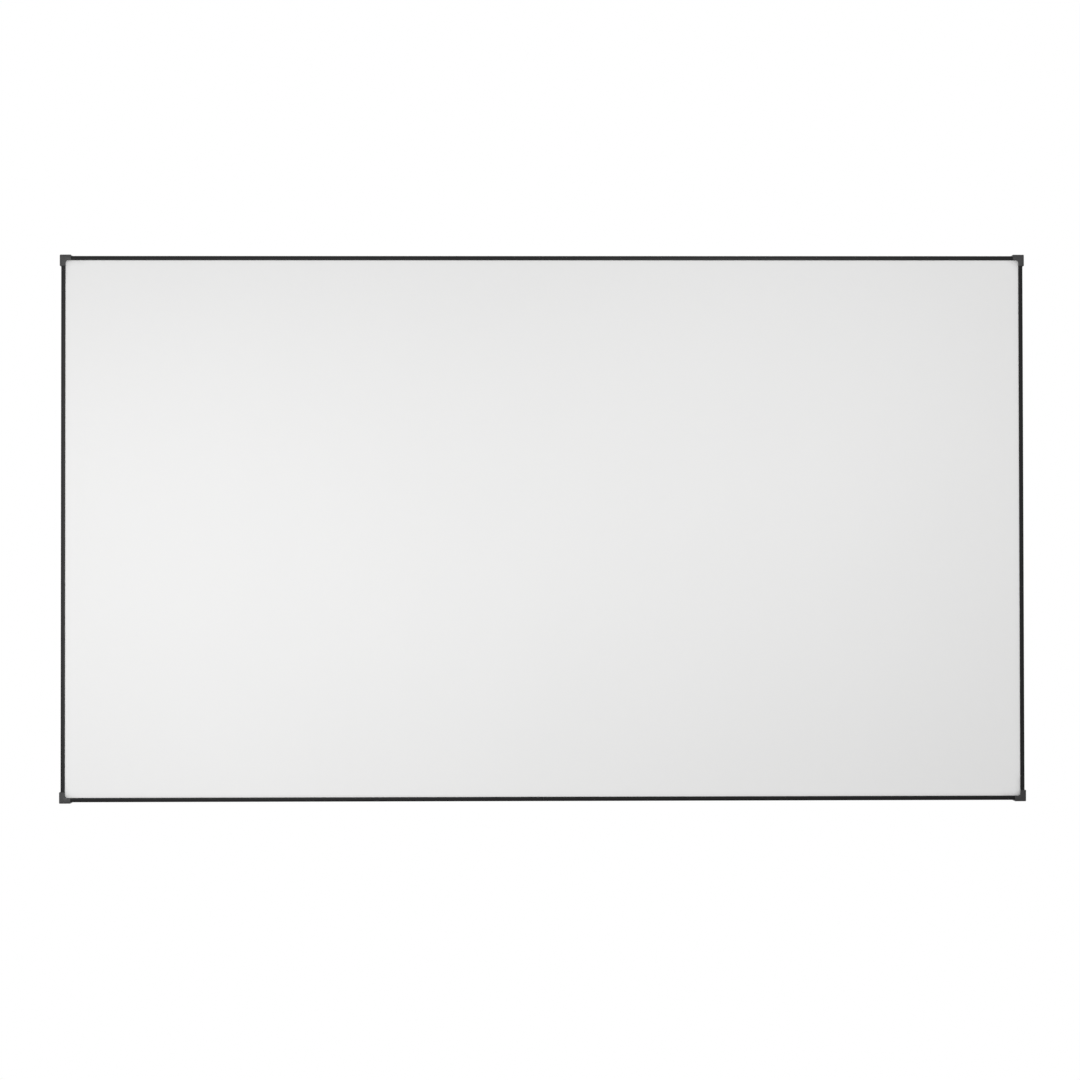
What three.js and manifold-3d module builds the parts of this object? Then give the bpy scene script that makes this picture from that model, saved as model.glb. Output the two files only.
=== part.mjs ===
import * as THREE from 'three';
import { mergeVertices } from 'three/addons/utils/BufferGeometryUtils.js';
import Module from 'manifold-3d';

// Fixed frame projector screen, 16:9, 100 inches across the diagonal. Millimetres, +Z up.
// The screen faces -Y. The origin lies on the wall, behind the middle of the screen.
//
// The frame's section is the same on all four sides. It is drawn in two distances:
// u runs inwards from the trim's outer face, and v runs back from the trim's front face.

// Viewing area, the white surface inside the trim
const VIEW_WIDTH = 2214;
const VIEW_HEIGHT = 1245;

// Clearances
const SLIP = 0.3; // between pieces that clip or slide together
const JOINT = 0.2; // between the cut ends of two lengths that meet
const PLAY = 0.2; // round a plate in its slot, and round a screw in its hole

// Clip-on trim, a C-section round the edge of the frame
const TRIM_FACE = 10;
const TRIM_WALL = 1.2;
const TRIM_LIP = 6;
const TRIM_ROUND = 0.6;

// Screen sheet, with the corners of its back flaps cut away
const SHEET_THICK = 0.4;
const FLAP_INSET = 24;

// Frame rail: a closed box at the edge and an open T-slot inside it
const RAIL_WALL = 1.6;
const BOX_WIDTH = 22;
const RAIL_DEPTH = 28;
const NOSE_FLAT = 3;
const NOSE_ROUND = 2;
const FRONT_FALL = 4; // how far the rail's front falls back from the sheet
const SLOT_MOUTH = 15.6;
const RIDGE_HEIGHT = 2; // of the ridge that the springs hook over

// Steel plates in the T-slots
const PLATE_WIDTH = 24;
const PLATE_THICK = 3;
const ARM_LENGTH = 110; // of each arm of a corner bracket
const SPLICE_LENGTH = 200;

// Set screws that clamp the plates
const SCREW_DIAMETER = 5;
const SCREW_LENGTH = 4;
const SCREW_END = 18; // from a plate's end to its last screw
const SCREW_STEP = 50; // between the two screws of one rail
const SOCKET_ACROSS = 2.5;
const SOCKET_DEPTH = 2;

// Tension rods in the sheet's hems, and the springs that pull them
const ROD_DIAMETER = 4;
const ROD_INSET = 16;
const ROD_SHORT = 3; // from the end of a hem to the end of its rod
const SPRING_PITCH = 150;
const SPRING_MARGIN = 60; // kept free of springs at each end of a side
const SPRING_DIAMETER = 7;
const SPRING_WIRE = 1.2;
const SPRING_LEAD = 2; // straight wire between a hook and the coil
const HEM_NOTCH = 12; // the gap in a hem where a spring takes the rod

// Corner caps
const CAP_PROUD = 3; // outside the trim
const CAP_WALL = 1.5;
const CAP_ARM = 26;
const CAP_FILLET = 6;
const CAP_ROUND = 2;

// Centre support bar and its end clips
const BAR_WIDTH = 30;
const BAR_WALL = 1.4;
const BAR_ROUND = 2;
const CLIP_LEG = 2.4;
const CLIP_GRIP = 10; // how far the clip's legs reach over the rail
const CLIP_BODY = 7.5;
const CLIP_PLUG = 14; // how far the clip reaches into the bar

// Wall brackets
const BRACKET_WIDTH = 60;
const BRACKET_THICK = 2.5;
const BRACKET_PLATE = 60; // height of the plate on the wall
const BRACKET_BEND = 1;
const BRACKET_AT_PITCH = 4; // from the middle, in whole spring pitches, so it lies between two springs
const BEHIND_SPRINGS = 2; // from the springs to the wall brackets' plates
const WALL_SLOT_LENGTH = 16;
const WALL_SLOT_WIDTH = 6;
const WALL_SLOT_FIRST = 24; // from the plate's start to the first slot
const WALL_SLOT_STEP = 22;

// Colours and finishes
const sheetWhite = new THREE.MeshStandardMaterial({ color: 0xf0f0ee, roughness: 0.9, metalness: 0 });
const satinBlack = new THREE.MeshStandardMaterial({ color: 0x1c1c1d, roughness: 0.45, metalness: 0.6 });
const millAluminium = new THREE.MeshStandardMaterial({ color: 0xb4b6b8, roughness: 0.4, metalness: 1 });
const capPlastic = new THREE.MeshStandardMaterial({ color: 0x29292b, roughness: 0.6, metalness: 0 });
const zincSteel = new THREE.MeshStandardMaterial({ color: 0xa8abae, roughness: 0.35, metalness: 1 });
const screwSteel = new THREE.MeshStandardMaterial({ color: 0x3a3a3c, roughness: 0.5, metalness: 0.9 });
const blackSteel = new THREE.MeshStandardMaterial({ color: 0x222224, roughness: 0.55, metalness: 0.3 });
const clipPlastic = new THREE.MeshStandardMaterial({ color: 0x202022, roughness: 0.6, metalness: 0 });

// The whole frame, over the trim
const OUTER_WIDTH = VIEW_WIDTH + 2 * TRIM_FACE;
const OUTER_HEIGHT = VIEW_HEIGHT + 2 * TRIM_FACE;

// Layers from the outside in: trim, sheet, rail. They lie in the same order at the side and at the front.
const SHEET_OUT = TRIM_WALL + SLIP;
const RAIL_OUT = SHEET_OUT + SHEET_THICK + SLIP;
const RAIL_BACK = RAIL_OUT + RAIL_DEPTH;
const SHEET_BACK = RAIL_BACK + SLIP;
const LIP_FRONT = SHEET_BACK + SHEET_THICK + SLIP;
const TRIM_BACK = LIP_FRONT + TRIM_WALL;

// The rail's T-slot
const SLOT_NEAR = RAIL_OUT + BOX_WIDTH;
const SLOT_FAR = SLOT_NEAR + PLATE_WIDTH + 2 * PLAY;
const SLOT_MIDDLE = (SLOT_NEAR + SLOT_FAR) / 2;
const MOUTH_NEAR = SLOT_MIDDLE - SLOT_MOUTH / 2;
const MOUTH_FAR = SLOT_MIDDLE + SLOT_MOUTH / 2;
const SLOT_LIP = RAIL_BACK - RAIL_WALL;
const SLOT_FLOOR = SLOT_LIP - PLATE_THICK - 2 * PLAY;
const WEB_FRONT = SLOT_FLOOR - RAIL_WALL;
const RAIL_IN = SLOT_FAR + RAIL_WALL;
const RIDGE_BACK = RAIL_BACK + RIDGE_HEIGHT;

// Rod, hem and spring
const ROD_RADIUS = ROD_DIAMETER / 2;
const HEM_BORE = ROD_RADIUS + SLIP;
const HEM_OUT = HEM_BORE + SHEET_THICK;
const ROD_BACK = SHEET_BACK + HEM_OUT;
const SPRING_RADIUS = SPRING_DIAMETER / 2;
const SPRING_AXIS = RAIL_BACK + SLIP + SPRING_RADIUS;
const SPRING_BACK = SPRING_AXIS + SPRING_RADIUS;

// The wall lies behind the springs and the bracket plates
const BRACKET_FRONT = SPRING_BACK + BEHIND_SPRINGS;
const WALL = BRACKET_FRONT + BRACKET_THICK;

// Support bar, as deep as the clips that straddle the rail
const BAR_FRONT = WEB_FRONT - SLIP - CLIP_LEG;
const BAR_BACK = RIDGE_BACK + SLIP + CLIP_LEG;
const CLIP_START = RAIL_IN + SLIP;
const CLIP_SHOULDER = CLIP_START + CLIP_BODY;

const ARC_STEPS = 4; // half the number of sides of a full round
const SCREW_SIDES = 12;
const PAST = 1; // how far a cutting shape runs past what it cuts

const wasm = await Module();
wasm.setup();

// A closed mesh as a solid for joining and cutting
function solidOf(geometry) {
  const bare = geometry.clone();
  bare.deleteAttribute('normal');
  bare.deleteAttribute('uv');
  const merged = mergeVertices(bare);
  return new wasm.Manifold(new wasm.Mesh({
    numProp: 3,
    vertProperties: new Float32Array(merged.attributes.position.array),
    triVerts: new Uint32Array(merged.index.array),
  }));
}

function geometryOf(solid) {
  const mesh = solid.getMesh();
  const geometry = new THREE.BufferGeometry();
  geometry.setAttribute('position', new THREE.BufferAttribute(mesh.vertProperties, 3));
  geometry.setIndex(new THREE.BufferAttribute(mesh.triVerts, 1));
  geometry.computeVertexNormals();
  return geometry;
}

// One body from several that overlap, less the bodies in cuts
function combine(bodies, cuts = []) {
  const joined = bodies.map(solidOf).reduce((all, body) => all.add(body));
  return geometryOf(cuts.map(solidOf).reduce((left, cut) => left.subtract(cut), joined));
}

// A closed outline through corners [x, y, radius], where a radius rounds its corner
function outline(corners) {
  const points = corners.map(([x, y]) => new THREE.Vector2(x, y));
  const shape = new THREE.Shape();
  corners.forEach(([, , radius = 0], i) => {
    const here = points[i];
    const before = points.at(i - 1).clone().sub(here).setLength(radius).add(here);
    const after = points[(i + 1) % points.length].clone().sub(here).setLength(radius).add(here);
    if (i === 0) shape.moveTo(before.x, before.y);
    else shape.lineTo(before.x, before.y);
    if (radius > 0) shape.quadraticCurveTo(here.x, here.y, after.x, after.y);
  });
  shape.closePath();
  return shape;
}

function rectangle(x0, y0, x1, y1, radius = 0) {
  return outline([[x0, y0, radius], [x1, y0, radius], [x1, y1, radius], [x0, y1, radius]]);
}

function round(x, y, radius) {
  return new THREE.Shape().absarc(x, y, radius, 0, 2 * Math.PI);
}

function extrude(shape, depth) {
  return new THREE.ExtrudeGeometry(shape, { depth, steps: 1, bevelEnabled: false, curveSegments: ARC_STEPS });
}

// A length of a section drawn in u and v, run along X from one end to the other. Each end is
// a function of u that gives its X, so an end can be square or mitred. Z is -u and Y is v.
function run(section, startAt, endAt) {
  const geometry = extrude(section, 1);
  const place = geometry.attributes.position;
  for (let i = 0; i < place.count; i += 1) {
    const u = place.getX(i);
    const v = place.getY(i);
    const x = place.getZ(i) < 0.5 ? startAt(u) : endAt(u);
    place.setXYZ(i, x, v, -u);
  }
  geometry.computeVertexNormals();
  return geometry;
}

function straight(section, start, end) {
  return run(section, () => start, () => end);
}

// A plate drawn from above in its two sideways distances, from depth v0 back to v1. Z is -y and Y is v.
function plate(shape, v0, v1) {
  return extrude(shape, v1 - v0).rotateX(-Math.PI / 2).translate(0, v0, 0);
}

const screen = new THREE.Group();
screen.position.y = -WALL;

// The four sides, each a group turned from the top one, with its X along the side. A turn is a quarter
// clockwise as seen from the front. half is half the side's length, out is its distance from the middle.
function sideGroup(turn, out) {
  const group = new THREE.Group();
  group.rotation.y = turn * Math.PI / 2;
  const inner = new THREE.Group();
  inner.position.z = out;
  group.add(inner);
  screen.add(group);
  return inner;
}

const sides = [
  { name: 'top', turn: 0, half: OUTER_WIDTH / 2, out: OUTER_HEIGHT / 2, lengths: ['left', 'right'] },
  { name: 'right', turn: 1, half: OUTER_HEIGHT / 2, out: OUTER_WIDTH / 2, lengths: [] },
  { name: 'bottom', turn: 2, half: OUTER_WIDTH / 2, out: OUTER_HEIGHT / 2, lengths: ['right', 'left'] },
  { name: 'left', turn: 3, half: OUTER_HEIGHT / 2, out: OUTER_WIDTH / 2, lengths: [] },
];
for (const side of sides) side.group = sideGroup(side.turn, side.out);

// The four corners, each a group turned from the top left one, whose arms run along +X and -Z
const corners = [
  { name: 'top_left', turn: 0, x: -OUTER_WIDTH / 2, z: OUTER_HEIGHT / 2 },
  { name: 'top_right', turn: 1, x: OUTER_WIDTH / 2, z: OUTER_HEIGHT / 2 },
  { name: 'bottom_right', turn: 2, x: OUTER_WIDTH / 2, z: -OUTER_HEIGHT / 2 },
  { name: 'bottom_left', turn: 3, x: -OUTER_WIDTH / 2, z: -OUTER_HEIGHT / 2 },
];
for (const corner of corners) {
  corner.group = new THREE.Group();
  corner.group.position.set(corner.x, 0, corner.z);
  corner.group.rotation.y = corner.turn * Math.PI / 2;
  screen.add(corner.group);
}

function add(name, geometry, material, group = screen) {
  const mesh = new THREE.Mesh(geometry, material);
  mesh.name = name;
  group.add(mesh);
  return mesh;
}

// Where the springs sit along a side: whole pitches apart, half a pitch from the middle
function springPlaces(half) {
  const places = [];
  for (let x = SPRING_PITCH / 2; x < half - SPRING_MARGIN; x += SPRING_PITCH) places.push(-x, x);
  return places;
}

// Mitred lengths of a section round the frame. The long sides are in two lengths that meet in the middle.
function frameOf(prefix, section, material) {
  const gap = JOINT / 2;
  for (const { name, half, lengths, group } of sides) {
    const fromLeft = (u) => -half + u + gap;
    const toRight = (u) => half - u - gap;
    if (lengths.length === 0) {
      add(`${prefix}_${name}`, run(section, fromLeft, toRight), material, group);
    } else {
      add(`${prefix}_${name}_${lengths[0]}`, run(section, fromLeft, () => -gap), material, group);
      add(`${prefix}_${name}_${lengths[1]}`, run(section, () => gap, toRight), material, group);
    }
  }
}

// Rail: the closed box carries the sheet on its nose, and its front falls away behind the sheet
function railSection() {
  const flatEnd = RAIL_OUT + NOSE_FLAT;
  const boxIn = SLOT_NEAR;
  const slope = FRONT_FALL / (boxIn - flatEnd);
  const innerNear = RAIL_OUT + RAIL_WALL;
  const innerFar = boxIn - RAIL_WALL;
  const innerFall = RAIL_OUT + RAIL_WALL * Math.hypot(1, slope) + slope * (innerFar - flatEnd);
  const section = outline([
    [RAIL_OUT, RAIL_OUT, NOSE_ROUND],
    [flatEnd, RAIL_OUT],
    [boxIn, RAIL_OUT + FRONT_FALL],
    [boxIn, WEB_FRONT],
    [RAIL_IN, WEB_FRONT],
    [RAIL_IN, RIDGE_BACK],
    [SLOT_FAR, RIDGE_BACK],
    [SLOT_FAR, RAIL_BACK],
    [MOUTH_FAR, RAIL_BACK],
    [MOUTH_FAR, SLOT_LIP],
    [SLOT_FAR, SLOT_LIP],
    [SLOT_FAR, SLOT_FLOOR],
    [boxIn, SLOT_FLOOR],
    [boxIn, SLOT_LIP],
    [MOUTH_NEAR, SLOT_LIP],
    [MOUTH_NEAR, RAIL_BACK],
    [RAIL_OUT, RAIL_BACK, NOSE_ROUND],
  ]);
  section.holes.push(outline([
    [innerNear, innerNear],
    [flatEnd, innerNear],
    [innerFar, innerFall],
    [innerFar, SLOT_LIP],
    [innerNear, SLOT_LIP],
  ]));
  return section;
}

// Trim: a front face, an outer side and a short lip that clips behind the rail
function trimSection() {
  return outline([
    [0, 0, TRIM_ROUND],
    [TRIM_FACE, 0, TRIM_ROUND],
    [TRIM_FACE, TRIM_WALL],
    [TRIM_WALL, TRIM_WALL],
    [TRIM_WALL, LIP_FRONT],
    [TRIM_LIP, LIP_FRONT],
    [TRIM_LIP, TRIM_BACK],
    [0, TRIM_BACK, TRIM_ROUND],
  ]);
}

frameOf('rail', railSection(), millAluminium);
frameOf('trim', trimSection(), satinBlack);

// Sheet flap: from the front edge round the side of the rail and behind it, into a hem round the rod
function flapSection() {
  const meet = Math.asin((HEM_OUT - SHEET_THICK) / HEM_OUT); // where the hem comes back to its flap
  const section = new THREE.Shape();
  section.moveTo(SHEET_OUT, SHEET_OUT);
  section.lineTo(RAIL_OUT, SHEET_OUT);
  section.lineTo(RAIL_OUT, SHEET_OUT + SHEET_THICK);
  section.lineTo(SHEET_OUT + SHEET_THICK, SHEET_OUT + SHEET_THICK);
  section.lineTo(SHEET_OUT + SHEET_THICK, SHEET_BACK);
  section.lineTo(ROD_INSET, SHEET_BACK);
  section.absarc(ROD_INSET, ROD_BACK, HEM_OUT, -Math.PI / 2, Math.PI + meet, false);
  section.lineTo(SHEET_OUT, SHEET_BACK + SHEET_THICK);
  section.closePath();
  section.holes.push(round(ROD_INSET, ROD_BACK, HEM_BORE));
  return section;
}

// The notch in a hem and its flap at one spring, centred on x
function hemNotch(x) {
  const from = ROD_INSET - HEM_OUT - SPRING_WIRE;
  const to = ROD_INSET + HEM_OUT + PAST;
  const notch = rectangle(from, RAIL_BACK, to, ROD_BACK + HEM_OUT + PAST);
  return straight(notch, x - HEM_NOTCH / 2, x + HEM_NOTCH / 2);
}

function screenSheet() {
  const front = new THREE.BoxGeometry(
    OUTER_WIDTH - 2 * SHEET_OUT,
    SHEET_THICK,
    OUTER_HEIGHT - 2 * SHEET_OUT,
  ).translate(0, SHEET_OUT + SHEET_THICK / 2, 0);
  const flaps = [];
  const notches = [];
  for (const { turn, half, out } of sides) {
    const reach = half - FLAP_INSET;
    const toSide = (geometry) => geometry.translate(0, 0, out).rotateY(turn * Math.PI / 2);
    flaps.push(toSide(straight(flapSection(), -reach, reach)));
    for (const x of springPlaces(half)) notches.push(toSide(hemNotch(x)));
  }
  return combine([front, ...flaps], notches);
}

add('screen_sheet', screenSheet(), sheetWhite);

// One spring, centred on x: a coil between a hook round the rod and a hook over the rail's ridge.
// The hooks are drawn in u and v as one flat strip of wire that runs through the coil.
function spring(x) {
  const wire = SPRING_WIRE / 2;
  const hookOut = ROD_RADIUS + SPRING_WIRE;
  const coilStart = ROD_INSET + hookOut + SPRING_LEAD;
  const ridgeHook = RAIL_IN + SLIP;
  const coilEnd = SLOT_FAR - SPRING_LEAD;
  const diagonal = hookOut * Math.SQRT1_2;
  const strip = outline([
    [ROD_INSET - diagonal, ROD_BACK - diagonal],
    [ROD_INSET - hookOut, ROD_BACK],
    [ROD_INSET - diagonal, ROD_BACK + diagonal],
    [ROD_INSET, ROD_BACK + hookOut],
    [coilStart, SPRING_AXIS + wire],
    [ridgeHook + SPRING_WIRE, SPRING_AXIS + wire],
    [ridgeHook + SPRING_WIRE, RAIL_BACK],
    [ridgeHook, RAIL_BACK],
    [ridgeHook, SPRING_AXIS - wire],
    [coilStart, SPRING_AXIS - wire],
    [ROD_INSET, ROD_BACK],
  ]);
  const coil = new THREE.CylinderGeometry(
    SPRING_RADIUS,
    SPRING_RADIUS,
    coilEnd - coilStart,
    2 * ARC_STEPS,
  ).rotateX(Math.PI / 2).translate(x, SPRING_AXIS, -(coilStart + coilEnd) / 2);
  return [straight(strip, x - wire, x + wire), coil];
}

for (const { name, half, group } of sides) {
  const reach = half - FLAP_INSET - ROD_SHORT;
  const rod = straight(round(ROD_INSET, ROD_BACK, ROD_RADIUS), -reach, reach);
  const springs = springPlaces(half).flatMap(spring);
  add(`tension_rod_${name}`, combine([rod, ...springs]), zincSteel, group);
}

// Set screw with a hexagon socket, its tip just clear of the slot's floor
function setScrew() {
  const radius = SCREW_DIAMETER / 2;
  const socketRadius = SOCKET_ACROSS / Math.sqrt(3);
  const body = new THREE.CylinderGeometry(radius, radius, SCREW_LENGTH, SCREW_SIDES);
  const socket = new THREE.CylinderGeometry(socketRadius, socketRadius, SOCKET_DEPTH + PAST, 6);
  socket.translate(0, SCREW_LENGTH / 2 - SOCKET_DEPTH + (SOCKET_DEPTH + PAST) / 2, 0);
  return combine([body], [socket]).translate(0, SLOT_FLOOR + SLIP + SCREW_LENGTH / 2, 0);
}

function screwHole(x, y) {
  return round(x, y, SCREW_DIAMETER / 2 + PLAY);
}

const PLATE_NEAR = SLOT_NEAR + PLAY;
const PLATE_FAR = PLATE_NEAR + PLATE_WIDTH;
const PLATE_FRONT = SLOT_FLOOR + PLAY;
const PLATE_BACK = PLATE_FRONT + PLATE_THICK;

// Corner bracket: an L whose two arms lie in the slots of the two rails
function cornerBracket(spots) {
  const reach = PLATE_NEAR + ARM_LENGTH;
  const shape = outline([
    [PLATE_NEAR, PLATE_NEAR],
    [reach, PLATE_NEAR],
    [reach, PLATE_FAR],
    [PLATE_FAR, PLATE_FAR],
    [PLATE_FAR, reach],
    [PLATE_NEAR, reach],
  ]);
  shape.holes.push(...spots.map(([x, y]) => screwHole(x, y)));
  return plate(shape, PLATE_FRONT, PLATE_BACK);
}

const armSpots = [ARM_LENGTH - SCREW_END - SCREW_STEP, ARM_LENGTH - SCREW_END].map((at) => PLATE_NEAR + at);
const cornerSpots = armSpots.flatMap((at) => [[at, SLOT_MIDDLE], [SLOT_MIDDLE, at]]);

// Corner cap: an L-shaped channel, open towards the screen's middle, that slides on diagonally
function cornerCap() {
  const end = CAP_ARM - CAP_PROUD;
  const body = plate(outline([
    [-CAP_PROUD, -CAP_PROUD, CAP_ROUND],
    [end, -CAP_PROUD],
    [end, TRIM_FACE],
    [TRIM_FACE, TRIM_FACE, CAP_FILLET],
    [TRIM_FACE, end],
    [-CAP_PROUD, end],
  ]), -SLIP - CAP_WALL, TRIM_BACK + SLIP + CAP_WALL);
  const inside = plate(rectangle(-SLIP, -SLIP, CAP_ARM, CAP_ARM), -SLIP, TRIM_BACK + SLIP);
  return combine([body], [inside]);
}

for (const { name, group } of corners) {
  add(`corner_cap_${name}`, cornerCap(), capPlastic, group);
  add(`corner_bracket_${name}`, cornerBracket(cornerSpots), zincSteel, group);
  cornerSpots.forEach(([x, y], i) => {
    add(`corner_screw_${name}_${i + 1}`, setScrew(), screwSteel, group).position.set(x, 0, -y);
  });
}

// Splice plate: a straight plate across the joint in the middle of a long side
const lastSpot = SPLICE_LENGTH / 2 - SCREW_END;
const spliceSpots = [-lastSpot, SCREW_STEP - lastSpot, lastSpot - SCREW_STEP, lastSpot];

function splicePlate() {
  const shape = rectangle(-SPLICE_LENGTH / 2, PLATE_NEAR, SPLICE_LENGTH / 2, PLATE_FAR);
  shape.holes.push(...spliceSpots.map((x) => screwHole(x, SLOT_MIDDLE)));
  return plate(shape, PLATE_FRONT, PLATE_BACK);
}

// Support clip: two legs that straddle the rail's inner wall, and a plug that fits the bar
function supportClip() {
  const legEnd = CLIP_START - CLIP_GRIP;
  const jaw = straight(outline([
    [legEnd, BAR_FRONT],
    [CLIP_SHOULDER, BAR_FRONT],
    [CLIP_SHOULDER, BAR_BACK],
    [legEnd, BAR_BACK],
    [legEnd, BAR_BACK - CLIP_LEG],
    [CLIP_START, BAR_BACK - CLIP_LEG],
    [CLIP_START, BAR_FRONT + CLIP_LEG],
    [legEnd, BAR_FRONT + CLIP_LEG],
  ]), -BAR_WIDTH / 2, BAR_WIDTH / 2);
  const inset = BAR_WALL + SLIP;
  const section = rectangle(CLIP_START + PAST, BAR_FRONT + inset, CLIP_SHOULDER + CLIP_PLUG, BAR_BACK - inset);
  const plug = straight(section, inset - BAR_WIDTH / 2, BAR_WIDTH / 2 - inset);
  return combine([jaw, plug]);
}

// Wall bracket: a plate on the wall, a shelf that the rail's slot lip rests on, and a tip that keeps
// the lip from coming forward. On the top rail the tip points to smaller u, on the bottom to larger.
function wallBracketSection(name) {
  const tipBack = SLOT_LIP - SLIP;
  const tipFront = tipBack - BRACKET_THICK;
  if (name === 'top') {
    const carry = MOUTH_NEAR + SLIP;
    const under = carry + BRACKET_THICK;
    const tip = SLOT_NEAR + 2 * SLIP;
    return outline([
      [tip, tipFront],
      [under, tipFront, BRACKET_BEND],
      [under, BRACKET_FRONT],
      [carry + BRACKET_PLATE, BRACKET_FRONT],
      [carry + BRACKET_PLATE, WALL],
      [carry, WALL, BRACKET_BEND],
      [carry, tipBack],
      [tip, tipBack],
    ]);
  }
  const carry = MOUTH_FAR - SLIP;
  const under = carry - BRACKET_THICK;
  const tip = SLOT_FAR - 2 * SLIP;
  return outline([
    [under, tipFront, BRACKET_BEND],
    [tip, tipFront],
    [tip, tipBack],
    [carry, tipBack],
    [carry, BRACKET_FRONT],
    [under + BRACKET_PLATE, BRACKET_FRONT],
    [under + BRACKET_PLATE, WALL],
    [under, WALL, BRACKET_BEND],
  ]);
}

// Where a bracket's plate starts on the wall
function plateStart(name) {
  return name === 'top' ? MOUTH_NEAR + SLIP : MOUTH_FAR - SLIP - BRACKET_THICK;
}

function wallSlot(u) {
  const end = WALL_SLOT_LENGTH / 2 - WALL_SLOT_WIDTH / 2;
  const shape = new THREE.Shape();
  shape.absarc(end, u, WALL_SLOT_WIDTH / 2, -Math.PI / 2, Math.PI / 2, false);
  shape.absarc(-end, u, WALL_SLOT_WIDTH / 2, Math.PI / 2, 3 * Math.PI / 2, false);
  return plate(shape, BRACKET_FRONT - PAST, WALL + PAST);
}

function wallBracket(name) {
  const body = straight(wallBracketSection(name), -BRACKET_WIDTH / 2, BRACKET_WIDTH / 2);
  const first = plateStart(name) + WALL_SLOT_FIRST;
  return combine([body], [wallSlot(first), wallSlot(first + WALL_SLOT_STEP)]);
}

for (const { name, lengths, group } of sides.filter((side) => side.lengths.length > 0)) {
  add(`splice_plate_${name}`, splicePlate(), zincSteel, group);
  spliceSpots.forEach((x, i) => {
    add(`splice_screw_${name}_${i + 1}`, setScrew(), screwSteel, group).position.set(x, 0, -SLOT_MIDDLE);
  });
  add(`support_clip_${name}`, supportClip(), clipPlastic, group);
  lengths.forEach((hand, i) => {
    const bracket = add(`wall_bracket_${name}_${hand}`, wallBracket(name), blackSteel, group);
    bracket.position.x = (i === 0 ? -1 : 1) * BRACKET_AT_PITCH * SPRING_PITCH;
  });
}

// Support bar: an upright tube between the shoulders of the two clips
function supportBar() {
  const section = rectangle(-BAR_WIDTH / 2, BAR_FRONT, BAR_WIDTH / 2, BAR_BACK, BAR_ROUND);
  section.holes.push(rectangle(
    BAR_WALL - BAR_WIDTH / 2,
    BAR_FRONT + BAR_WALL,
    BAR_WIDTH / 2 - BAR_WALL,
    BAR_BACK - BAR_WALL,
  ));
  const length = OUTER_HEIGHT - 2 * (CLIP_SHOULDER + SLIP);
  return extrude(section, length).translate(0, 0, -length / 2);
}

add('support_bar', supportBar(), millAluminium);

export default screen;
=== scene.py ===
import math
from functools import partial

import bmesh
import bpy
import numpy as np
from mathutils import Matrix, Vector
from mathutils.geometry import tessellate_polygon


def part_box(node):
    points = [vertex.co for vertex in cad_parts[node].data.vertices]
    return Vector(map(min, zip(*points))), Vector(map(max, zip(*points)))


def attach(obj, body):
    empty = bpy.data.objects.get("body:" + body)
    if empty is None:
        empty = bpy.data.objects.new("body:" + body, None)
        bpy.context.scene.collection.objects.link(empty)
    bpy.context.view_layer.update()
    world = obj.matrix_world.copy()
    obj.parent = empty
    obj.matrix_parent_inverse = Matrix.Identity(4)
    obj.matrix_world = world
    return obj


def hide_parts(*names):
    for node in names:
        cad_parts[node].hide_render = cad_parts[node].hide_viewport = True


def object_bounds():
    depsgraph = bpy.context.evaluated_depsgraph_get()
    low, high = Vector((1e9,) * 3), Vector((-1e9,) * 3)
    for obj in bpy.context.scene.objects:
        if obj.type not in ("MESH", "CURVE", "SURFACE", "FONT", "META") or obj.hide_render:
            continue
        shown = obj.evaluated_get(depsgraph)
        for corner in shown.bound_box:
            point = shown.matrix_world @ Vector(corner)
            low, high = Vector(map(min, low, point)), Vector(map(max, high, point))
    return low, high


# Fixed frame projector screen. The frame's section is drawn in two distances:
# u runs inwards from the trim's outer face, and v runs back from the trim's front face.
# s runs along a side, clockwise as seen from the front, and is 0 in the side's middle.

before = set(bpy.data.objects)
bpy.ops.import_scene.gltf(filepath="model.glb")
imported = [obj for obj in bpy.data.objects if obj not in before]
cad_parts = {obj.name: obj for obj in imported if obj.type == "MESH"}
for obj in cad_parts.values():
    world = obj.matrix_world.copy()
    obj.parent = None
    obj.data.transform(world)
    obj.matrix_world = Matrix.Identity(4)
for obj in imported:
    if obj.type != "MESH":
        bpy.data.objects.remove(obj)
cad_low, cad_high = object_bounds()

MM = 0.001
TURN = 2 * math.pi

# Places taken from the frame
trim_low, trim_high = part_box("trim_right")
rail_low, rail_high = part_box("rail_top_left")
splice_low, splice_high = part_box("splice_plate_top")
bar_low, bar_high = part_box("support_bar")
hook_low, hook_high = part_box("wall_bracket_top_right")
HALF_WIDTH = trim_high.x
HALF_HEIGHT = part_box("trim_top_left")[1].z
FRONT = trim_low.y
WALL = cad_high.y - FRONT
TRIM_BACK = trim_high.y - FRONT
RAIL_OUT = HALF_HEIGHT - rail_high.z
RAIL_IN = HALF_HEIGHT - rail_low.z
RIDGE_BACK = rail_high.y - FRONT
PLATE_NEAR = HALF_HEIGHT - splice_high.z
PLATE_FAR = HALF_HEIGHT - splice_low.z
PLATE_FRONT = splice_low.y - FRONT
PLATE_BACK = splice_high.y - FRONT
SPLICE_HALF = splice_high.x
BAR_FRONT = bar_low.y - FRONT
BAR_BACK = bar_high.y - FRONT
CAP_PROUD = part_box("corner_cap_top_right")[1].x - HALF_WIDTH
HOOK_MIDDLE = (hook_low.x + hook_high.x) / 2

# Clearances
SLIP = 0.3 * MM
JOINT = 0.2 * MM

# Clip-on trim
TRIM_FACE = 10 * MM
TRIM_WALL = 1.2 * MM
TRIM_LIP = 6 * MM
TRIM_BEAD = 0.25 * MM
TRIM_OUTER_ROUND = 0.8 * MM
TRIM_EDGE_ROUND = 0.5 * MM
TRIM_INNER_ROUND = 0.3 * MM

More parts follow.
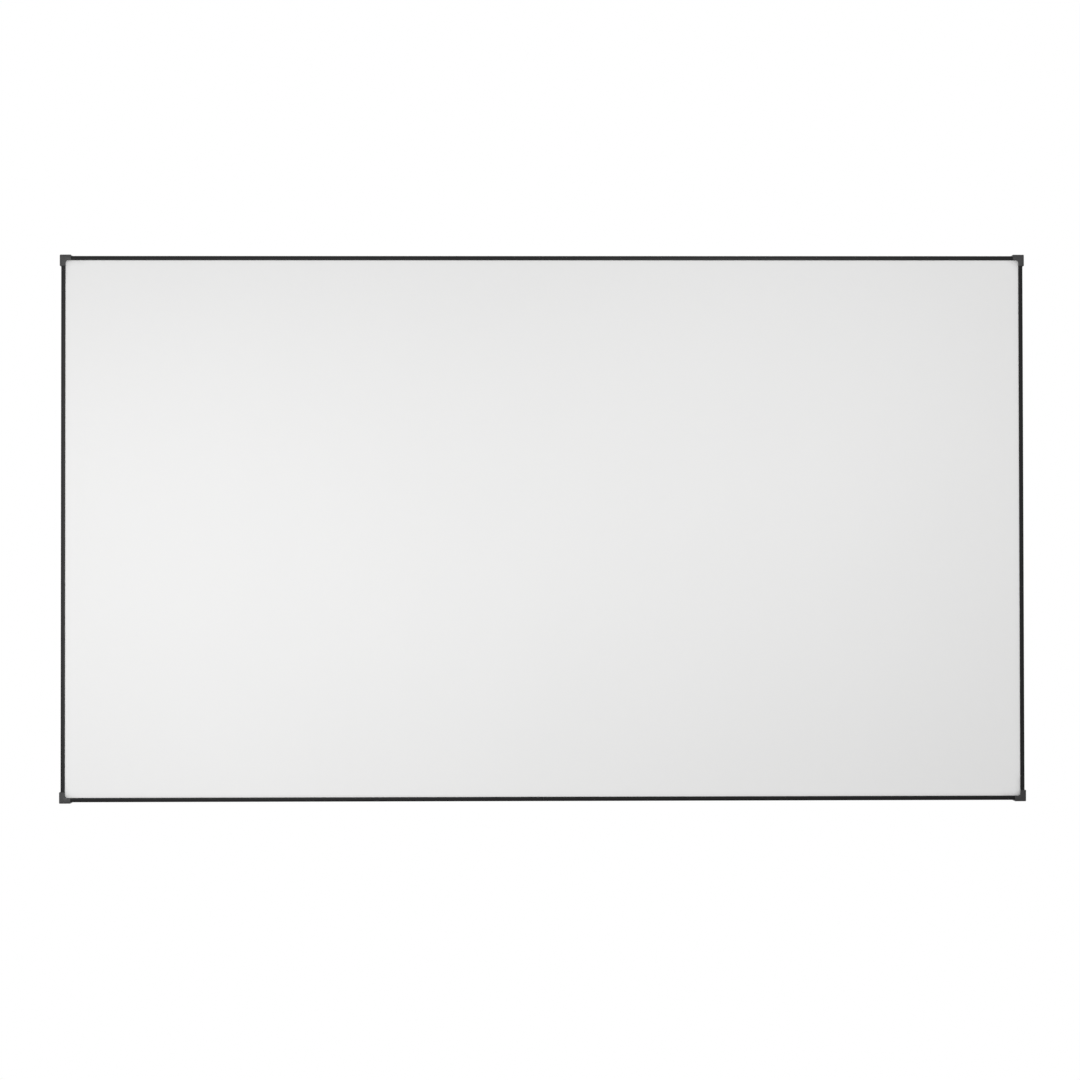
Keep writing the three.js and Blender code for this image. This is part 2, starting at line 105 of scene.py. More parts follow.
# Screen sheet
SHEET_THICK = 0.4 * MM
SHEET_BEND = 1.2 * MM
SHEET_STEP = 40 * MM
FLAP_INSET = 24 * MM
HEM_NOTCH = 12 * MM
HEM_NECK = 0.8 * MM
WELD_REACH = 7 * MM  # how near the trim's outer face the welded hem strip comes
WELD_FILM = 0.05 * MM  # between the flap and the strip
WELD_MARGIN = 0.7 * MM

# Rail
RAIL_WALL = 1.6 * MM
RAIL_ROUND = 0.4 * MM
NOSE_FLAT = 3 * MM
NOSE_ROUND = 2 * MM
FRONT_FALL = 4 * MM
SLOT_MOUTH = 15.6 * MM
RIDGE_HEIGHT = 2 * MM

# Steel plates and their set screws
PLATE_ROUND = 3 * MM
PLATE_EDGE = 0.3 * MM
ARM_LENGTH = 110 * MM
SCREW_DIAMETER = 5 * MM
SCREW_LENGTH = 4 * MM
SCREW_PLAY = 0.2 * MM
SCREW_END = 18 * MM
SCREW_STEP = 50 * MM
SCREW_CHAMFER = 0.15 * MM
CUP_DEPTH = 0.45 * MM
SOCKET_ACROSS = 2.5 * MM
SOCKET_DEPTH = 2 * MM
THREAD_PITCH = 0.8 * MM
THREAD_DEPTH = 0.4 * MM
THREAD_START = 0.7 * MM
THREAD_END = 0.5 * MM

# Rods and springs
ROD_RADIUS = 2 * MM
ROD_INSET = 16 * MM
ROD_SHORT = 3 * MM
ROD_CHAMFER = 0.4 * MM
SPRING_PITCH = 150 * MM
SPRING_MARGIN = 60 * MM
SPRING_RADIUS = 3.5 * MM
SPRING_WIRE = 1.2 * MM
SPRING_START = 1 * MM  # from the rod's middle
SPRING_END = 0.5 * MM  # before the hook over the ridge
SPRING_LEADS = 7 * MM  # what both leads take together
COIL_PITCH = 1.55 * MM
RIDGE_BEND = 1.5 * MM
RIDGE_TAIL = 0.4 * MM

# Corner caps
CAP_WALL = 1.5 * MM
CAP_ARM = 26 * MM
CAP_FILLET = 6 * MM
CAP_ROUND = 2 * MM
CAP_EDGE = 0.7 * MM
CAP_INNER_EDGE = 0.3 * MM
CAP_END_EDGE = 0.2 * MM

# Centre support bar and its clips
BAR_WIDTH = 30 * MM
BAR_WALL = 1.4 * MM
BAR_ROUND = 2 * MM
BAR_INNER_ROUND = 0.6 * MM
BAR_CUT_EDGE = 0.2 * MM
CLIP_LEG = 2.4 * MM
CLIP_GRIP = 10 * MM
CLIP_BODY = 7.5 * MM
CLIP_ROUND = 0.8 * MM
CLIP_EDGE = 0.5 * MM
PLUG_LENGTH = 14 * MM
PLUG_ROOT = 1 * MM
PLUG_ROUND = 1.2 * MM

# Wall hooks
HOOK_WIDTH = 60 * MM
HOOK_THICK = 2.5 * MM
HOOK_PLATE = 60 * MM
HOOK_BEND = 1 * MM
HOOK_ROUND = 4 * MM
HOOK_EDGE = 0.35 * MM
WALL_SLOT_LENGTH = 16 * MM
WALL_SLOT_WIDTH = 6 * MM
WALL_SLOT_FIRST = 24 * MM
WALL_SLOT_STEP = 22 * MM

# Worked out from those above
SHEET_OUT = TRIM_WALL + SLIP
RAIL_BACK = RIDGE_BACK - RIDGE_HEIGHT
SHEET_BACK = RAIL_BACK + SLIP + SHEET_THICK
SLOT_NEAR = PLATE_NEAR - SCREW_PLAY
SLOT_FAR = PLATE_FAR + SCREW_PLAY
SLOT_MIDDLE = (PLATE_NEAR + PLATE_FAR) / 2
SLOT_LIP = RAIL_BACK - RAIL_WALL
SLOT_FLOOR = PLATE_FRONT - SCREW_PLAY
WEB_FRONT = SLOT_FLOOR - RAIL_WALL
HEM_BORE = ROD_RADIUS + SLIP
ROD_BACK = SHEET_BACK + HEM_BORE
NOTCH_START = ROD_INSET - HEM_BORE - SHEET_THICK - SPRING_WIRE
SPRING_AXIS = RAIL_BACK + SLIP + SPRING_RADIUS

# Clockwise from the top side and the top left corner
SIDES = ("top", "right", "bottom", "left")
CORNERS = ("top_left", "top_right", "bottom_right", "bottom_left")


def half_length(side):
    return HALF_HEIGHT if side % 2 else HALF_WIDTH


def side_point(side, s, u, v):
    """World points at s, u and v of a side: the top side's are (s, FRONT + v, half height - u), and each side
    after it is turned clockwise by a quarter."""
    s, u, v = np.broadcast_arrays(s, u, v)
    x, z = s, (HALF_WIDTH if side % 2 else HALF_HEIGHT) - u
    x, z = ((x, z), (z, -x), (-x, -z), (-z, x))[side]
    return np.stack((x, FRONT + v, z), axis=-1)


def section_place(side):
    """World points of a section (u, v) carried to s along a side."""
    return lambda u, v, s: side_point(side, s, u, v)


def corner_point(corner, a, b, v):
    """World points from a corner of the trim: a along the side that follows it clockwise, b along the side
    before it, and v back."""
    a, b, v = np.broadcast_arrays(a, b, v)
    x, z = ((a, -b), (-b, -a), (-a, b), (b, a))[corner]
    at_x = HALF_WIDTH if corner in (1, 2) else -HALF_WIDTH
    at_z = HALF_HEIGHT if corner in (0, 1) else -HALF_HEIGHT
    return np.stack((at_x + x, FRONT + v, at_z + z), axis=-1)


# Outlines


def rounded(corners, steps=4, radius=0.0, closed=True):
    """Points of an outline through corners (x, y), or (x, y, radius) where one has its own. A radius gives
    steps + 1 points of the circle that touches both edges: its centre lies radius / sin(half) along the
    bisector, and the points turn about it from one touching point to the other."""
    full = np.array([(*corner, radius)[:3] for corner in corners], float)
    here, radius = full[:, :2], full[:, 2]
    back = np.roll(here, 1, axis=0) - here
    ahead = np.roll(here, -1, axis=0) - here
    back /= np.linalg.norm(back, axis=1)[:, None]
    ahead /= np.linalg.norm(ahead, axis=1)[:, None]
    half = np.arccos(np.clip((back * ahead).sum(axis=1), -1, 1)) / 2
    bisector = back + ahead
    bisector /= np.maximum(np.linalg.norm(bisector, axis=1), 1e-12)[:, None]
    centre = here + bisector * (radius / np.sin(half))[:, None]
    touch = here + back * (radius / np.tan(half))[:, None] - centre
    way = np.sign(ahead[:, 0] * back[:, 1] - ahead[:, 1] * back[:, 0])
    angle = np.linspace(0, 1, steps + 1) * (way * (math.pi - 2 * half))[:, None]
    x = centre[:, :1] + touch[:, :1] * np.cos(angle) - touch[:, 1:] * np.sin(angle)
    y = centre[:, 1:] + touch[:, :1] * np.sin(angle) + touch[:, 1:] * np.cos(angle)
    keep = np.ones(angle.shape, bool)
    keep[radius == 0, 1:] = False
    if not closed:
        x[[0, -1]] = here[[0, -1], :1]
        y[[0, -1]] = here[[0, -1], 1:]
    return np.stack((x, y), axis=-1)[keep]


def rectangle(x0, y0, x1, y1, radius, steps=4):
    return rounded([(x0, y0), (x1, y0), (x1, y1), (x0, y1)], steps, radius)


def circle(x, y, radius, count):
    """count points of a circle, anticlockwise."""
    angle = np.arange(count) * TURN / count
    return np.stack((x + radius * np.cos(angle), y + radius * np.sin(angle)), axis=-1)


def wound(loop, way):
    """The loop, turned round if need be so that it runs anticlockwise (way 1) or clockwise (way -1)."""
    x, y = loop[:, 0], loop[:, 1]
    area = (x * np.roll(y, -1) - np.roll(x, -1) * y).sum()
    return loop if area * way > 0 else loop[::-1]


def moved_in(loop, distance):
    """Each point moved into the material by distance from both its edges, along m = (n1 + n2) / (1 + n1.n2),
    where n1 and n2 are the unit normals on the edges' left."""
    ahead = np.roll(loop, -1, axis=0) - loop
    ahead /= np.linalg.norm(ahead, axis=1)[:, None]
    normal = np.stack((-ahead[:, 1], ahead[:, 0]), axis=-1)
    before = np.roll(normal, 1, axis=0)
    mitre = (normal + before) / (1 + (normal * before).sum(axis=1))[:, None]
    return loop + distance * mitre


# Meshes. A body is its vertices, a list of arrays of faces and a list of arrays of their UVs.


def eased(reach, edge):
    """A slab's levels from -reach to reach, with its edges eased at both ends."""
    return [(-reach, edge), (edge - reach, 0), (reach - edge, 0), (reach, edge)]


def outward(body):
    """The body with its faces turned round if they point inwards, so that its volume is negative: the sum
    over the faces' fan triangles of a.(b x c) / 6."""
    vertices, faces, uvs = body
    volume = 0.0
    for some in faces:
        corner = vertices[some]
        for i in range(1, some.shape[1] - 1):
            volume += (corner[:, 0] * np.cross(corner[:, i], corner[:, i + 1])).sum()
    if volume < 0:
        faces = [some[:, ::-1] for some in faces]
        uvs = [some[:, ::-1] for some in uvs]
    return vertices, faces, uvs


def filled(loops):
    """Triangles over an outline and its holes, as places in the loops put end to end, all anticlockwise."""
    points = np.concatenate(loops)
    corners = [list(map(Vector, np.pad(loop, ((0, 0), (0, 1))).tolist())) for loop in loops]
    triangles = np.array(tessellate_polygon(corners))
    p, q, r = points[triangles.T]
    clockwise = (q - p)[:, 0] * (r - p)[:, 1] - (q - p)[:, 1] * (r - p)[:, 0] < 0
    triangles[clockwise] = triangles[clockwise][:, ::-1]
    return triangles


def slab(outer, holes, levels, place, length=1.0):
    """Closed body over an outline and its holes. At each level (depth, inset) the loops are moved in by the
    inset. Quads join the levels, and triangles fill the first and the last. place turns x, y and depth into
    world points. UV is the distance round the loops and the depth times length."""
    loops = [wound(outer, 1)] + [wound(hole, -1) for hole in holes]
    ends = np.cumsum([len(loop) for loop in loops])
    count = ends[-1]
    rings = [np.concatenate([moved_in(loop, inset) for loop in loops]) for _, inset in levels]
    vertices = np.concatenate([place(*ring.T, depth) for ring, (depth, _) in zip(rings, levels)])
    here = np.arange(count)
    after = np.concatenate([np.roll(part, -1) for part in np.split(here, ends[:-1])])
    edge = np.linalg.norm(np.concatenate(loops)[after] - np.concatenate(loops), axis=1)
    end = np.cumsum(edge)
    begin = end - edge
    low = np.arange(len(levels) - 1)[:, None] * count
    quads = np.stack((low + here, low + after, low + after + count, low + here + count), axis=-1)
    depth = np.array([depth for depth, _ in levels])[:, None] * length
    corners = ((begin, depth[:-1]), (end, depth[:-1]), (end, depth[1:]), (begin, depth[1:]))
    around = np.stack([np.stack(np.broadcast_arrays(*corner), axis=-1) for corner in corners], axis=-2)
    first = filled(np.split(rings[0], ends[:-1]))
    faces = [quads.reshape(-1, 4), first[:, ::-1], first + (len(levels) - 1) * count]
    uvs = [around.reshape(-1, 4, 2), rings[0][first[:, ::-1]], rings[-1][first]]
    return outward((vertices, faces, uvs))


def grid(points, wrap_columns=False):
    """Quads over points [row, column], with UV from the distances along the first column and row."""
    rows, columns = points.shape[:2]
    cells = columns if wrap_columns else columns - 1
    r, c = np.divmod(np.arange((rows - 1) * cells), cells)
    c1 = (c + 1) % columns
    row, below = r * columns, (r + 1) * columns
    quads = np.stack((row + c, row + c1, below + c1, below + c), axis=-1)
    down = np.linalg.norm(np.diff(points[:, 0], axis=0), axis=-1)
    across = np.linalg.norm(np.roll(points[0], -1, axis=0) - points[0], axis=-1)
    near, left = (np.cumsum(down) - down)[r], (np.cumsum(across) - across)[c]
    far, right = near + down[r], left + across[c]
    corners = ((near, left), (near, right), (far, right), (far, left))
    uvs = np.stack([np.stack(corner, axis=-1) for corner in corners], axis=1)
    return points.reshape(-1, 3), [quads], [uvs]


def tube(points):
    """Closed body over rings of points [ring, point], with its two ends filled."""
    vertices, faces, uvs = grid(points, wrap_columns=True)
    rings, count = points.shape[:2]
    ends = np.array([np.arange(count)[::-1], np.arange(count) + (rings - 1) * count])
    return outward((vertices, faces + [ends], uvs + [np.zeros((2, count, 2))]))


def joined(bodies):
    """Several bodies as one."""
    vertices, faces, uvs, start = [], [], [], 0
    for some, its_faces, its_uvs in bodies:
        vertices.append(some)
        faces += [part + start for part in its_faces]
        uvs += its_uvs
        start += len(some)
    return np.concatenate(vertices), faces, uvs


def cut_out(body, gone):
    """A grid's body without the cells that are gone, and without the points that only they used."""
    vertices, (quads,), (uvs,) = body
    used, index = np.unique(quads[~gone], return_inverse=True)
    return vertices[used], [index.reshape(-1, 4)], [uvs[~gone]]


def added(name, data):
    """A new object of the data, in the scene."""
    made = bpy.data.objects.new(name, data)
    bpy.context.scene.collection.objects.link(made)
    return made


def piece(name, body, materials, nodes, sharp=35):
    """A Blender object of the body, in place, riding on the frame and standing for its CAD nodes."""
    vertices, faces, uvs = body
    listed = [face for some in faces for face in some.tolist()]
    mesh = bpy.data.meshes.new(name)
    mesh.from_pydata(vertices.tolist(), [], listed)
    layer = mesh.uv_layers.new(name="UVMap")
    layer.data.foreach_set("uv", np.concatenate([some.ravel() for some in uvs]))
    mesh.polygons.foreach_set("use_smooth", np.ones(len(mesh.polygons), bool))
    mesh.set_sharp_from_angle(angle=math.radians(sharp))
    for material in materials:
        mesh.materials.append(material)
    mesh.update()
    made = added(name, mesh)
    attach(made, "root")
    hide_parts(*nodes)
    return made


# Shader nodes


def add_node(tree, kind, values=(), **settings):
    """A new shader node's outputs. values gives its inputs plain values or other nodes' outputs."""
    node = tree.nodes.new("ShaderNode" + kind)
    for label, value in settings.items():
        setattr(node, label, value)
    for label, value in dict(values).items():
        if isinstance(value, bpy.types.NodeSocket):
            tree.links.new(value, node.inputs[label])
        else:
            node.inputs[label].default_value = value
    return node.outputs


def maths(tree, operation, *values):
    return add_node(tree, "Math", enumerate(values), operation=operation)["Value"]


def vector_maths(tree, operation, *values):
    return add_node(tree, "VectorMath", enumerate(values), operation=operation)


def noise(tree, place, scale, detail):
    return add_node(tree, "TexNoise", {"Vector": place, "Scale": scale, "Detail": detail})["Fac"]


def new_group(name, output, **inputs):
    """A node group with nothing between its ends yet: its tree, its inputs with their usual values, and
    where its one output goes."""
    tree = bpy.data.node_groups.new(name, "ShaderNodeTree")
    for label, value in inputs.items():
        kind = "NodeSocketColor" if isinstance(value, tuple) else "NodeSocketFloat"
        tree.interface.new_socket(label, in_out="INPUT", socket_type=kind).default_value = value
    kind = "NodeSocketColor" if output == "Color" else "NodeSocketFloat"
    tree.interface.new_socket(output, in_out="OUTPUT", socket_type=kind)
    given = tree.nodes.new("NodeGroupInput").outputs
    return tree, given, tree.nodes.new("NodeGroupOutput").inputs[output]


def spread(tree, value, given):
    """Noise taken from 0.3 to 0.7, where most of its values lie, to the range from Low to High."""
    ends = {"From Min": 0.3, "From Max": 0.7, "To Min": given["Low"], "To Max": given["High"]}
    return add_node(tree, "MapRange", {"Value": value, **ends})["Result"]


def cloud_group():
    """Soft patches on Object coordinates: noise of a given scale and detail, spread from Low to High."""
    tree, given, result = new_group("cloudy patches", "Value", Scale=10, Detail=3, Low=0, High=1)
    patches = noise(tree, add_node(tree, "TexCoord")["Object"], given["Scale"], given["Detail"])
    tree.links.new(spread(tree, patches, given), result)
    return tree


def line_group():
    """Lines along a drawn or rolled length: noise on UV, tight across the section and long along it."""
    tree, given, result = new_group("draw lines", "Value", Across=4000, Along=6, Low=0, High=1)
    scale = add_node(tree, "CombineXYZ", {"X": given["Across"], "Y": given["Along"]})["Vector"]
    place = vector_maths(tree, "MULTIPLY", add_node(tree, "TexCoord")["UV"], scale)["Vector"]
    tree.links.new(spread(tree, noise(tree, place, 1, 2), given), result)
    return tree


def tone_group():
    """Two tones of one finish, mixed by soft patches on Object coordinates."""
    tree, given, result = new_group("two tones", "Color", Dark=(0, 0, 0, 1), Light=(1, 1, 1, 1), Scale=8)
    patches = noise(tree, add_node(tree, "TexCoord")["Object"], given["Scale"], 4)
    values = {"Factor": patches, "A": given["Dark"], "B": given["Light"]}
    tree.links.new(add_node(tree, "Mix", values, data_type="RGBA")["Result"], result)
    return tree


def weave_group():
    """Plain weave on Object coordinates: sin(X threads) times sin(Z threads)."""
    tree, given, result = new_group("plain weave", "Height", Threads=1200)
    axes = add_node(tree, "SeparateXYZ", {"Vector": add_node(tree, "TexCoord")["Object"]})
    waves = [maths(tree, "SINE", maths(tree, "MULTIPLY", axes[axis], given["Threads"])) for axis in "XZ"]
    tree.links.new(maths(tree, "MULTIPLY", *waves), result)
    return tree


def rib_group():
    """Ribs across a strip: the sine of a full turn for each pitch of UV's first distance."""
    tree, given, result = new_group("pressed ribs", "Height", Pitch=0.0016)
    along = add_node(tree, "SeparateXYZ", {"Vector": add_node(tree, "TexCoord")["UV"]})["X"]
    angle = maths(tree, "MULTIPLY", maths(tree, "DIVIDE", along, given["Pitch"]), TURN)
    tree.links.new(maths(tree, "SINE", angle), result)
    return tree


CLOUD, LINES, TONES, WEAVE, RIBS = cloud_group(), line_group(), tone_group(), weave_group(), rib_group()


def cloud(scale, detail, low=0, high=1):
    """Cloudy patches as an effect, which is a group and the values of its inputs."""
    return CLOUD, {"Scale": scale, "Detail": detail, "Low": low, "High": high}


def lines(across, along, low=0, high=1):
    """Draw lines as an effect."""
    return LINES, {"Across": across, "Along": along, "Low": low, "High": high}


# Finishes


def finish(name, tones, roughness, relief, **numbers):
    """A material with one Principled BSDF, whose plain numbers are set on its own sockets. tones are a dark
    and a light tone and the scale of the patches that mix them, roughness is an effect, and relief is a chain
    of bumps, each an effect and its height in metres."""
    material = bpy.data.materials.new(name)
    material.use_nodes = True
    tree = material.node_tree
    shader = tree.nodes["Principled BSDF"].inputs
    for label, value in numbers.items():
        shader[label.replace("_", " ")].default_value = value

    def effect(group, values):
        return add_node(tree, "Group", values, node_tree=group)[0]

    dark, light, scale = tones
    colour = effect(TONES, {"Dark": (*dark, 1), "Light": (*light, 1), "Scale": scale})
    tree.links.new(colour, shader["Base Color"])
    tree.links.new(effect(*roughness), shader["Roughness"])
    last = {}
    for layer, height in relief:
        bump = add_node(tree, "Bump", {"Height": effect(*layer), "Distance": height, **last})
        last = {"Normal": bump["Normal"]}
    tree.links.new(last["Normal"], shader["Normal"])
    return material


def sheet_backing(name, *ribs):
    """Grey backing of the film, with the faint weave of its carrier, and any ribs pressed into it."""
    return finish(
        name,
        tones=((0.045, 0.046, 0.048), (0.06, 0.061, 0.063), 5),
        roughness=cloud(30, 4, 0.6, 0.75),
        relief=[((WEAVE, {"Threads": 5200}), 0.04 * MM), *ribs],
        Specular_IOR_Level=0.3,
    )


def zinc_plate(name, low, high):
    """Bright zinc plate: cloudy, slightly blue and yellow, on rolled or drawn steel."""
    return finish(
        name,
        tones=((0.3, 0.31, 0.33), (0.45, 0.45, 0.42), 35),
        roughness=cloud(120, 4, low, high),
        relief=[(cloud(900, 4), 0.015 * MM)],
        Metallic=1,
    )


# Very matt, with a fine emboss
WHITE_FILM = finish(
    "white projection film",
    tones=((0.835, 0.835, 0.832), (0.85, 0.85, 0.847), 2.5),
    roughness=cloud(60, 4, 0.84, 0.94),
    relief=[(cloud(2400, 2), 0.02 * MM)],
    Specular_IOR_Level=0.2,
)

# The welding bar presses a rib across a hem each 1.6 mm
BACKING = sheet_backing("grey film backing")
WELD = sheet_backing("welded film backing", ((RIBS, {"Pitch": 1.6 * MM}), 0.12 * MM))

# Aluminium, with draw lines along the strip
TRIM_BLACK = finish(
    "satin black anodising",
    tones=((0.0025, 0.0025, 0.0027), (0.004, 0.004, 0.0043), 6),
    roughness=lines(2600, 5, 0.3, 0.42),
    relief=[(lines(5200, 9), 0.006 * MM)],
    Specular_IOR_Level=0.21,
)

# Aluminium as extruded: grey, satin, with draw lines
MILL = finish(
    "mill aluminium",
    tones=((0.36, 0.365, 0.37), (0.44, 0.445, 0.45), 9),
    roughness=lines(1800, 3, 0.3, 0.5),
    relief=[(lines(3600, 4), 0.015 * MM)],
    Metallic=1,
)

# Dark grey plastic with a fine spark-eroded grain
CAP_GREY = finish(
    "dark moulded plastic",
    tones=((0.006, 0.006, 0.0065), (0.009, 0.009, 0.0095), 40),
    roughness=cloud(300, 3, 0.35, 0.46),
    relief=[(cloud(2600, 3), 0.03 * MM)],
    Specular_IOR_Level=0.55,
)

# A little glossier than the caps
CLIP_BLACK = finish(
    "black moulded nylon",
    tones=((0.012, 0.012, 0.013), (0.018, 0.018, 0.019), 30),
    roughness=cloud(200, 3, 0.32, 0.46),
    relief=[(cloud(1800, 3), 0.02 * MM)],
    Specular_IOR_Level=0.5,
)

ZINC, SPRING_ZINC = zinc_plate("zinc plate", 0.26, 0.42), zinc_plate("zinc plated wire", 0.2, 0.32)

# Oiled, on small screws
OXIDE = finish(
    "black oxide",
    tones=((0.035, 0.035, 0.038), (0.06, 0.06, 0.063), 400),
    roughness=cloud(800, 3, 0.34, 0.5),
    relief=[(cloud(3000, 2), 0.008 * MM)],
    Metallic=0.9,
)

# A fine orange peel, with a finer grain on it
POWDER = finish(
    "black powder coat",
    tones=((0.015, 0.015, 0.016), (0.022, 0.022, 0.023), 25),
    roughness=cloud(150, 3, 0.4, 0.52),
    relief=[(cloud(700, 1), 0.05 * MM), (cloud(3200, 3), 0.015 * MM)],
    Specular_IOR_Level=0.5,
)


# Frame: rails and trim


def rail_outline():
    """The rail's outline and the closed box inside it, with small rounds on its edges. The inside of the
    sloping front wall lies a wall behind it, measured square to the slope."""
    flat_end = RAIL_OUT + NOSE_FLAT
    slope = FRONT_FALL / (SLOT_NEAR - flat_end)
    near, far = RAIL_OUT + RAIL_WALL, SLOT_NEAR - RAIL_WALL
    fall = RAIL_OUT + RAIL_WALL * math.hypot(1, slope) + slope * (far - flat_end)
    mouth_near, mouth_far = SLOT_MIDDLE - SLOT_MOUTH / 2, SLOT_MIDDLE + SLOT_MOUTH / 2
    outer = rounded([
        (RAIL_OUT, RAIL_OUT, NOSE_ROUND), (flat_end, RAIL_OUT, 0), (SLOT_NEAR, RAIL_OUT + FRONT_FALL),
        (SLOT_NEAR, WEB_FRONT), (RAIL_IN, WEB_FRONT), (RAIL_IN, RIDGE_BACK), (SLOT_FAR, RIDGE_BACK),
        (SLOT_FAR, RAIL_BACK), (mouth_far, RAIL_BACK), (mouth_far, SLOT_LIP), (SLOT_FAR, SLOT_LIP),
        (SLOT_FAR, SLOT_FLOOR), (SLOT_NEAR, SLOT_FLOOR), (SLOT_NEAR, SLOT_LIP), (mouth_near, SLOT_LIP),
        (mouth_near, RAIL_BACK), (RAIL_OUT, RAIL_BACK, NOSE_ROUND),
    ], 3, RAIL_ROUND)
    inside = [(near, near, 0), (flat_end, near, 0), (far, fall), (far, SLOT_LIP), (near, SLOT_LIP)]
    return outer, [rounded(inside, 3, RAIL_ROUND)]


def trim_outline():
    """The trim's C-section: front face, outer side, and a lip whose small bead clips behind the rail."""
    lip_front = TRIM_BACK - TRIM_WALL
    return rounded([
        (0, 0, TRIM_OUTER_ROUND), (TRIM_FACE, 0, TRIM_EDGE_ROUND), (TRIM_FACE, TRIM_WALL),
        (TRIM_WALL, TRIM_WALL), (TRIM_WALL, lip_front),
        (TRIM_LIP - 2 * TRIM_WALL, lip_front, TRIM_EDGE_ROUND),
        (TRIM_LIP - TRIM_WALL, lip_front - TRIM_BEAD), (TRIM_LIP, lip_front),
        (TRIM_LIP, TRIM_BACK, TRIM_EDGE_ROUND), (0, TRIM_BACK, TRIM_OUTER_ROUND),
    ], radius=TRIM_INNER_ROUND), []


def lengths(side):
    """Each length of section on a side: the end of its name, and for both its ends the s at the outer edge
    and the change of s for each distance inwards, 1 or -1 at a mitre and 0 at a square end."""
    half, gap = half_length(side), JOINT / 2
    first, last = (gap - half, 1), (half - gap, -1)
    if side % 2:
        return [(SIDES[side], first, last)]
    names = ("left", "right") if side == 0 else ("right", "left")
    return [(f"{SIDES[side]}_{names[0]}", first, (-gap, 0)), (f"{SIDES[side]}_{names[1]}", (gap, 0), last)]


def section_lengths(prefix, node, outline, material):
    """Every length of one section. Its point at u goes from the first end's s to the last end's, which are
    both start + change * u."""
    outer, holes = outline
    for side in range(4):
        for name, first, last in lengths(side):

            def along(u, v, share, side=side, first=first, last=last):
                begin = first[0] + first[1] * u
                end = last[0] + last[1] * u
                return side_point(side, begin + (end - begin) * share, u, v)

            body = slab(outer, holes, [(0, 0), (1, 0)], along, last[0] - first[0])
            piece(f"{prefix}_{name}", body, [material], [f"{node}_{name}"])


section_lengths("frame_rail", "rail", rail_outline(), MILL)
section_lengths("edge_trim", "trim", trim_outline(), TRIM_BLACK)


# Projection sheet


def spring_places(side):
    """Where the springs sit along a side: whole pitches apart, half a pitch from the middle."""
    right = np.arange(SPRING_PITCH / 2, half_length(side) - SPRING_MARGIN, SPRING_PITCH)
    return np.concatenate((-right[::-1], right))


def flap_path():
    """The white face's path (u, v) over a flap: round the side, behind the rail, round the rod in its hem,
    and back along the flap as the welded strip. Also the places in it of the notches' first and last cuts and
    of the ribbed part."""
    weld = SHEET_BACK + WELD_FILM
    hem_start = ROD_INSET - HEM_BORE
    back = rounded([
        (2 * TRIM_FACE, SHEET_OUT), (SHEET_OUT, SHEET_OUT, SHEET_BEND),
        (SHEET_OUT, SHEET_BACK, SHEET_BEND), (NOTCH_START, SHEET_BACK),
    ], closed=False)[1:]
    angle = np.linspace(-math.pi / 2, math.pi, 16)
    hem = np.stack((ROD_INSET + HEM_BORE * np.cos(angle), ROD_BACK + HEM_BORE * np.sin(angle)), axis=-1)
    corners = [(hem_start, ROD_BACK), (hem_start, weld, HEM_NECK), (NOTCH_START, weld)]
    neck = rounded(corners, closed=False)[1:]
    strip = [(NOTCH_START - WELD_MARGIN, weld), (WELD_REACH + WELD_MARGIN, weld), (WELD_REACH, weld)]
    path = np.concatenate((back, hem, neck, strip))
    first_cut = len(back) - 1
    last_cut = len(path) - 1 - len(strip)
    return path, first_cut, last_cut, last_cut + 1


def side_stations(side):
    """Where the sheet is divided along a side: its edge, its flap's ends, both edges of each notch, and about
    every sheet step between them."""
    edge, flap_end = half_length(side) - SHEET_OUT - SHEET_BEND, half_length(side) - FLAP_INSET
    notches = spring_places(side)
    cuts = (notches - HEM_NOTCH / 2, notches + HEM_NOTCH / 2)
    marks = np.sort(np.concatenate(([-edge, edge, -flap_end, flap_end], *cuts)))
    gaps = np.diff(marks)
    parts = np.maximum(1, np.round(gaps / SHEET_STEP).astype(int))
    starts = np.repeat(marks[:-1], parts)
    index = np.arange(len(starts)) - np.repeat(np.cumsum(parts) - parts, parts)
    return np.append(starts + index * np.repeat(gaps / parts, parts), marks[-1])


def projection_sheet():
    """The front as a grid between the four bends, and each flap as a grid of stations by path points, less
    the cells of its notches. Also which cells are the ribbed part of a weld."""
    path, first_cut, last_cut, ribbed = flap_path()
    x, z = np.meshgrid(side_stations(0), -side_stations(1), indexing="ij")
    bodies = [grid(np.stack((x, np.full_like(x, FRONT + SHEET_OUT), z), axis=-1))]
    welds = [np.zeros(len(bodies[0][1][0]), bool)]
    step = np.arange(len(path) - 1)
    for side in range(4):
        stations = side_stations(side)
        stations = stations[np.abs(stations) <= half_length(side) - FLAP_INSET + 1e-9]
        middle = (stations[1:] + stations[:-1]) / 2
        notched = (np.abs(middle[:, None] - spring_places(side)) < HEM_NOTCH / 2).any(axis=1)
        gone = (notched[:, None] & (step >= first_cut) & (step < last_cut)).ravel()
        flap = grid(side_point(side, stations[:, None], path[:, 0], path[:, 1]))
        bodies.append(cut_out(flap, gone))
        welds.append(np.tile(step == ribbed, len(middle))[~gone])
    return joined(bodies), np.concatenate(welds)


def merge_points(made, way=-1):
    """Joins the grids' points that lie on each other, and turns all faces the same way, so that the largest
    looks to the front (way -1) or to the wall (way 1)."""
    mesh = made.data
    work = bmesh.new()
    work.from_mesh(mesh)
    bmesh.ops.remove_doubles(work, verts=work.verts, dist=0.01 * MM)
    bmesh.ops.recalc_face_normals(work, faces=work.faces)
    work.to_mesh(mesh)
    work.free()
    if max(mesh.polygons, key=lambda face: face.area).normal.y * way < 0:
        mesh.flip_normals()
    mesh.set_sharp_from_angle(angle=math.radians(60))


